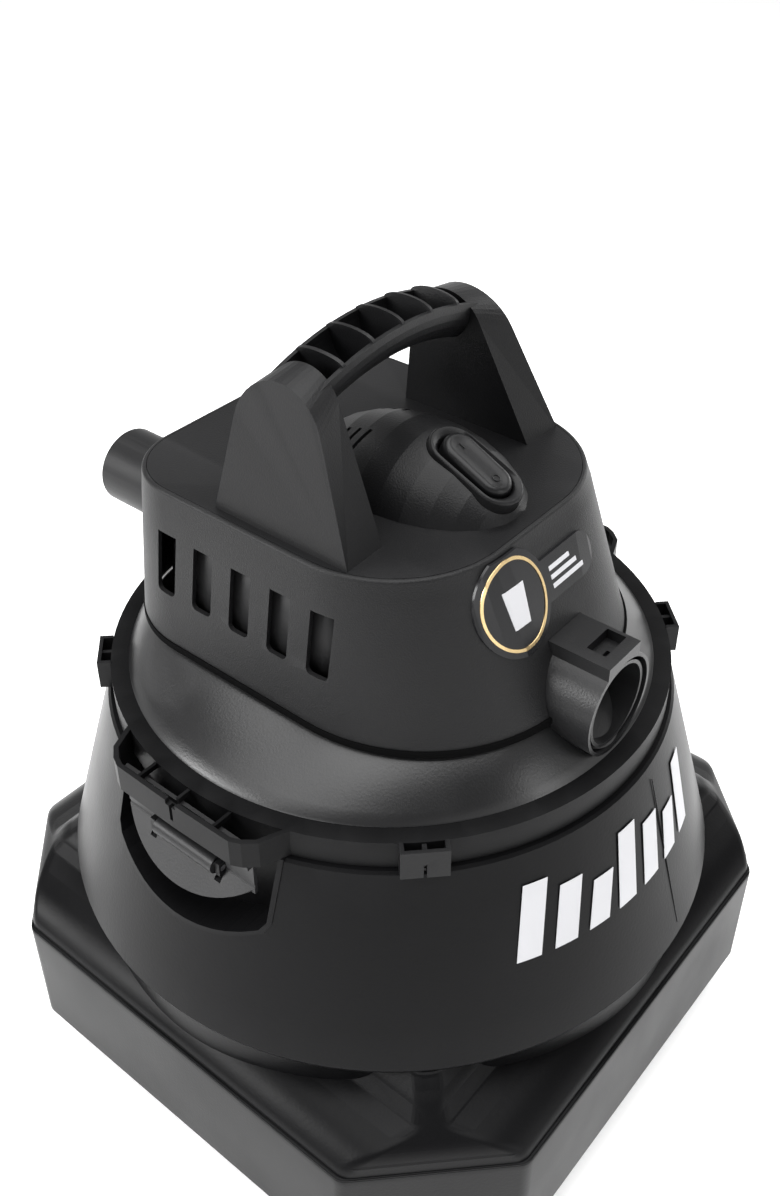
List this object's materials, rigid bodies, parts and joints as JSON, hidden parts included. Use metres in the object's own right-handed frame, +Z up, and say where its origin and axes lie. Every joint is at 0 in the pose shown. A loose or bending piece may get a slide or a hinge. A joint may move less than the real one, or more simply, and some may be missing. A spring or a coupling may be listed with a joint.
{
  "type": "shop vacuum",
  "caption": "Wet and dry shop vacuum with a flared drum on swivel casters, a latched lift-off power head, arched carry handle, hose inlet and blower port.",
  "frame": {"origin": "on the floor under the drum's axis", "axes": "+Z up the drum's axis; the hose inlet faces -Y, the handle runs along X, the latches are at +X and -X and the blower port faces +Y"},
  "size_m": [0.4417, 0.4418, 0.553],
  "materials": {
    "drum_plastic": "satin",
    "lid_plastic": "satin",
    "housing_plastic": "fine matte grain",
    "deck_plastic": "fine matte grain",
    "latch_plastic": "satin",
    "clip_plastic": "satin",
    "port_plastic": "satin",
    "switch_plastic": "satin gloss",
    "bezel_plastic": "satin",
    "badge_black": "gloss",
    "gold_trim": "polished",
    "print_grey": "printed",
    "rubber_black": "matte",
    "steel": "zinc plated",
    "caster_plastic": "matte",
    "wheel_plastic": "worn satin",
    "fan_plastic": "matte",
    "cage_plastic": "matte",
    "float_plastic": "matte",
    "filter_paper": "pleated paper",
    "aluminium": "spun",
    "laminations": "stacked sheet",
    "windings": "varnished copper",
    "carbon": "matte"
  },
  "bodies": {
    "drum": {"drum": "drum_plastic", "caster_base": "drum_plastic", "caster_sockets": "steel", "drum_decal": "print_grey", "latch_pins": "steel"},
    "head": {"lid": "lid_plastic", "lid_gasket": "rubber_black", "rim_clips": "clip_plastic", "lid_screws": "steel", "motor_housing": "housing_plastic", "top_cover": "deck_plastic", "cord_grommet": "rubber_black", "capacity_badge": "badge_black", "badge_ring": "gold_trim", "badge_marks": "print_grey", "switch_bezel": "bezel_plastic", "switch_body": "switch_plastic", "hose_inlet": "port_plastic", "inlet_deflector": "cage_plastic", "blower_port": "port_plastic", "fan_housing": "fan_plastic", "motor_frame": "aluminium", "motor_bearings": "steel", "motor_stator": "windings", "carbon_brushes": "carbon", "filter_cage": "cage_plastic"},
    "latch_left": {"latch_left": "latch_plastic"},
    "latch_right": {"latch_right": "latch_plastic"},
    "rotor": {"motor_shaft": "steel", "armature": "laminations", "impeller": "aluminium", "cooling_fan": "fan_plastic"},
    "rocker": {"switch_rocker": "switch_plastic"},
    "float": {"float_cup": "float_plastic"},
    "filter": {"filter_cartridge": "filter_paper"},
    "retainer": {"filter_retainer": "cage_plastic"},
    "caster_1": {"caster_1_fork": "caster_plastic", "caster_1_stem": "steel", "caster_1_axle": "steel"},
    "caster_1_roller": {"caster_1_wheel": "wheel_plastic"},
    "caster_2": {"caster_2_fork": "caster_plastic", "caster_2_stem": "steel", "caster_2_axle": "steel"},
    "caster_2_roller": {"caster_2_wheel": "wheel_plastic"},
    "caster_3": {"caster_3_fork": "caster_plastic", "caster_3_stem": "steel", "caster_3_axle": "steel"},
    "caster_3_roller": {"caster_3_wheel": "wheel_plastic"},
    "caster_4": {"caster_4_fork": "caster_plastic", "caster_4_stem": "steel", "caster_4_axle": "steel"},
    "caster_4_roller": {"caster_4_wheel": "wheel_plastic"}
  },
  "joints": [
    {"name": "head_lift", "type": "slide", "parent": "drum", "child": "head", "axis": [0, 0, 1], "range_m": [0, 0.27]},
    {"name": "latch_left_pivot", "type": "hinge", "parent": "drum", "child": "latch_left", "pos_m": [-0.1855, 0, 0.285], "axis": [0, 1, 0], "range_deg": [0, 7.5]},
    {"name": "latch_right_pivot", "type": "hinge", "parent": "drum", "child": "latch_right", "pos_m": [0.1855, 0, 0.285], "axis": [0, -1, 0], "range_deg": [0, 7.5]},
    {"name": "motor_spin", "type": "hinge", "parent": "head", "child": "rotor", "pos_m": [0, 0, 0.4], "axis": [0, 0, 1], "continuous": true},
    {"name": "switch_rock", "type": "hinge", "parent": "head", "child": "rocker", "pos_m": [0, -0.05946, 0.47281], "axis": [1, 0, 0], "range_deg": [-6, 0]},
    {"name": "float_rise", "type": "slide", "parent": "head", "child": "float", "axis": [0, 0, 1], "range_m": [0, 0.09]},
    {"name": "filter_pull", "type": "slide", "parent": "head", "child": "filter", "axis": [0, 0, -1], "range_m": [0, 0.09]},
    {"name": "retainer_pull", "type": "slide", "parent": "filter", "child": "retainer", "axis": [0, 0, -1], "range_m": [0, 0.03]},
    {"name": "caster_1_swivel", "type": "hinge", "parent": "drum", "child": "caster_1", "pos_m": [0.16405, 0.16405, 0.05], "axis": [0, 0, 1], "continuous": true},
    {"name": "caster_1_roll", "type": "hinge", "parent": "caster_1", "child": "caster_1_roller", "pos_m": [0.17183, 0.17183, 0.019], "axis": [-0.7071, 0.7071, 0], "continuous": true},
    {"name": "caster_2_swivel", "type": "hinge", "parent": "drum", "child": "caster_2", "pos_m": [-0.16405, 0.16405, 0.05], "axis": [0, 0, 1], "continuous": true},
    {"name": "caster_2_roll", "type": "hinge", "parent": "caster_2", "child": "caster_2_roller", "pos_m": [-0.17183, 0.17183, 0.019], "axis": [-0.7071, -0.7071, 0], "continuous": true},
    {"name": "caster_3_swivel", "type": "hinge", "parent": "drum", "child": "caster_3", "pos_m": [-0.16405, -0.16405, 0.05], "axis": [0, 0, 1], "continuous": true},
    {"name": "caster_3_roll", "type": "hinge", "parent": "caster_3", "child": "caster_3_roller", "pos_m": [-0.17183, -0.17183, 0.019], "axis": [0.7071, -0.7071, 0], "continuous": true},
    {"name": "caster_4_swivel", "type": "hinge", "parent": "drum", "child": "caster_4", "pos_m": [0.16405, -0.16405, 0.05], "axis": [0, 0, 1], "continuous": true},
    {"name": "caster_4_roll", "type": "hinge", "parent": "caster_4", "child": "caster_4_roller", "pos_m": [0.17183, -0.17183, 0.019], "axis": [0.7071, 0.7071, 0], "continuous": true}
  ]
}
